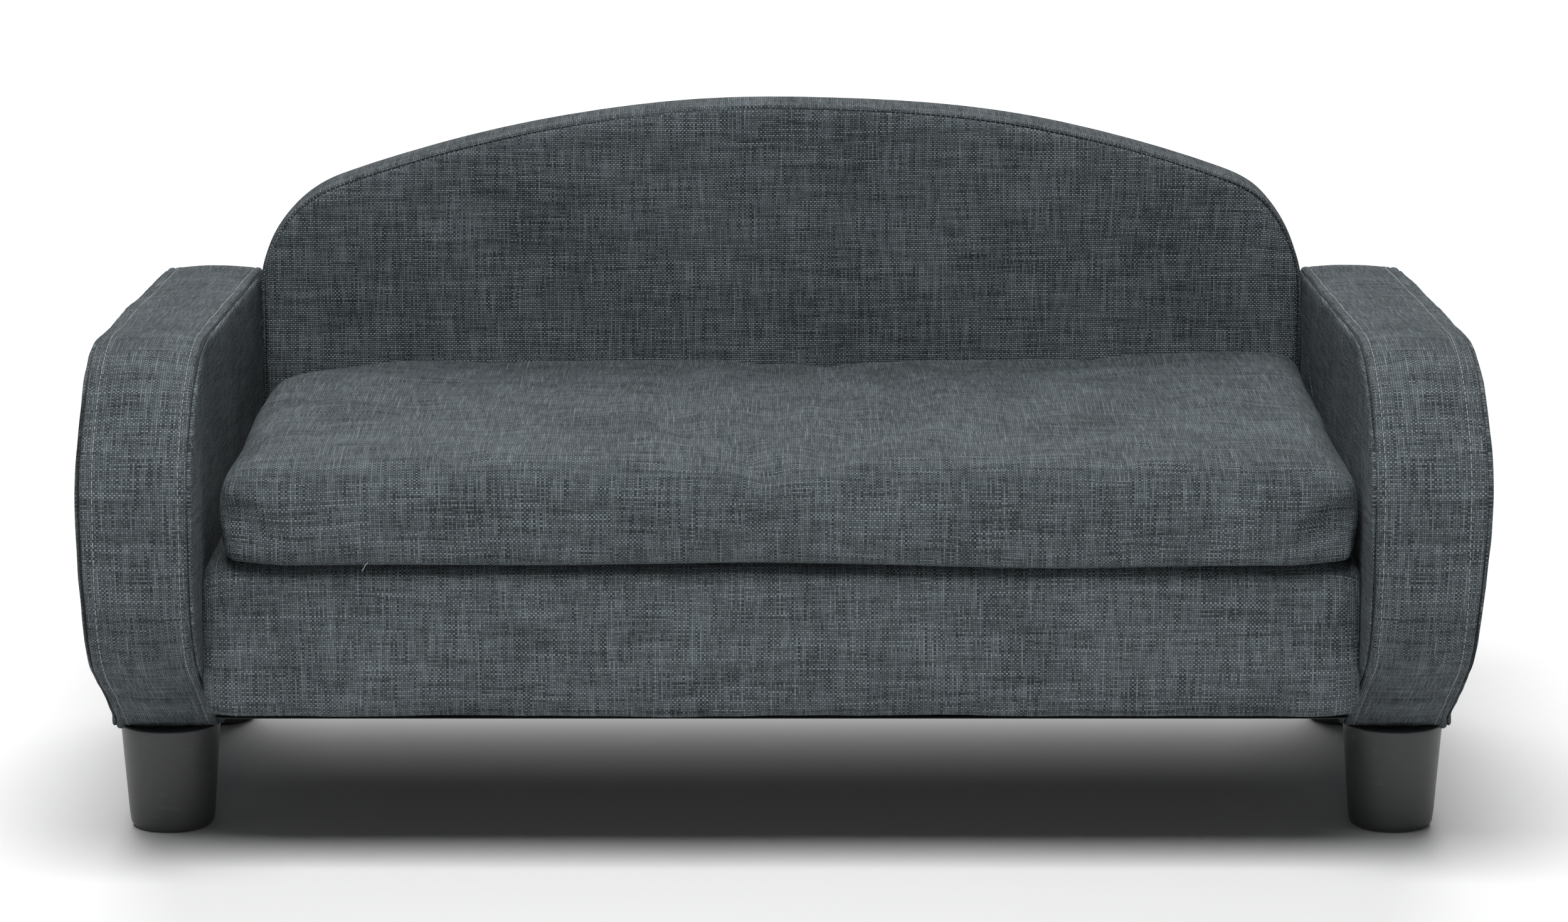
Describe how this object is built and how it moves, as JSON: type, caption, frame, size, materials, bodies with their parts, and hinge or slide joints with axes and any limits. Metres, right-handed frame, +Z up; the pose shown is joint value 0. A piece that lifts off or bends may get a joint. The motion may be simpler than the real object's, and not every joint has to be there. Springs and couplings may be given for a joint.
{
  "type": "pet sofa",
  "caption": "Low upholstered pet sofa: arched padded back between two rounded slab arms, boxed seat with a loose zipped cushion, and tapered plastic feet.",
  "frame": {"origin": "middle of the footprint, on the floor", "axes": "+X to the sofa's right as it faces -Y, +Y from its open front to its back, +Z up"},
  "size_m": [0.8, 0.483, 0.4009],
  "materials": {
    "slate_weave": "plain-woven linen-look upholstery cloth with slubs, dark slate grey",
    "dust_cloth": "thin black non-woven cloth",
    "foam": "open-cell cushion foam",
    "foot_plastic": "satin moulded charcoal plastic with light scuffs",
    "zinc_steel": "zinc-plated steel",
    "plywood": "raw plywood",
    "pine": "planed pine",
    "zip_tape": "dark grey woven zip tape",
    "zip_nylon": "dark grey nylon coil",
    "zip_metal": "gunmetal lacquered zinc alloy"
  },
  "bodies": {
    "frame": {"seat_cover": "slate_weave", "dust_cover": "dust_cloth", "dust_cover_staples": "zinc_steel", "left_arm_cover": "slate_weave", "right_arm_cover": "slate_weave", "back_cover": "slate_weave", "back_rear_cloth": "slate_weave", "front_left_foot": "foot_plastic", "rear_left_foot": "foot_plastic", "front_right_foot": "foot_plastic", "rear_right_foot": "foot_plastic", "seat_front_rail": "pine", "seat_rear_rail": "pine", "seat_left_rail": "pine", "seat_right_rail": "pine", "seat_centre_brace": "pine", "seat_corner_blocks": "pine", "seat_deck": "plywood", "seat_deck_screws": "zinc_steel", "seat_foam": "foam", "left_arm_foam": "foam", "left_arm_inner_panel": "plywood", "left_arm_outer_panel": "plywood", "left_arm_bottom_rail": "pine", "left_arm_top_rail": "pine", "left_arm_front_post": "pine", "left_arm_rear_post": "pine", "right_arm_foam": "foam", "right_arm_inner_panel": "plywood", "right_arm_outer_panel": "plywood", "right_arm_bottom_rail": "pine", "right_arm_top_rail": "pine", "right_arm_front_post": "pine", "right_arm_rear_post": "pine", "back_board": "plywood", "back_bottom_rail": "pine", "back_arch_rail": "pine", "back_left_post": "pine", "back_right_post": "pine", "back_foam": "foam", "arm_bolts": "zinc_steel", "arm_bolt_washers": "zinc_steel", "arm_tee_nuts": "zinc_steel", "back_bolts": "zinc_steel", "back_bolt_washers": "zinc_steel", "back_tee_nuts": "zinc_steel", "foot_studs": "zinc_steel", "foot_tee_nuts": "zinc_steel"},
    "cushion": {"cushion_cover": "slate_weave", "cushion_foam": "foam", "zip_tape": "zip_tape", "zip_coil": "zip_nylon", "zip_stops": "zip_metal"},
    "zip_slider": {"zip_slider": "zip_metal"},
    "zip_pull": {"zip_pull": "zip_metal"}
  },
  "joints": [
    {"name": "cushion_lift", "type": "slide", "parent": "frame", "child": "cushion", "axis": [0, 0, 1], "range_m": [0, 0.25]},
    {"name": "zip_run", "type": "slide", "parent": "cushion", "child": "zip_slider", "axis": [1, 0, 0], "range_m": [0, 0.52]},
    {"name": "zip_pull_swing", "type": "hinge", "parent": "zip_slider", "child": "zip_pull", "pos_m": [-0.26, 0.18715, 0.2158], "axis": [0, 1, 0], "range_deg": [-80, 80]}
  ]
}
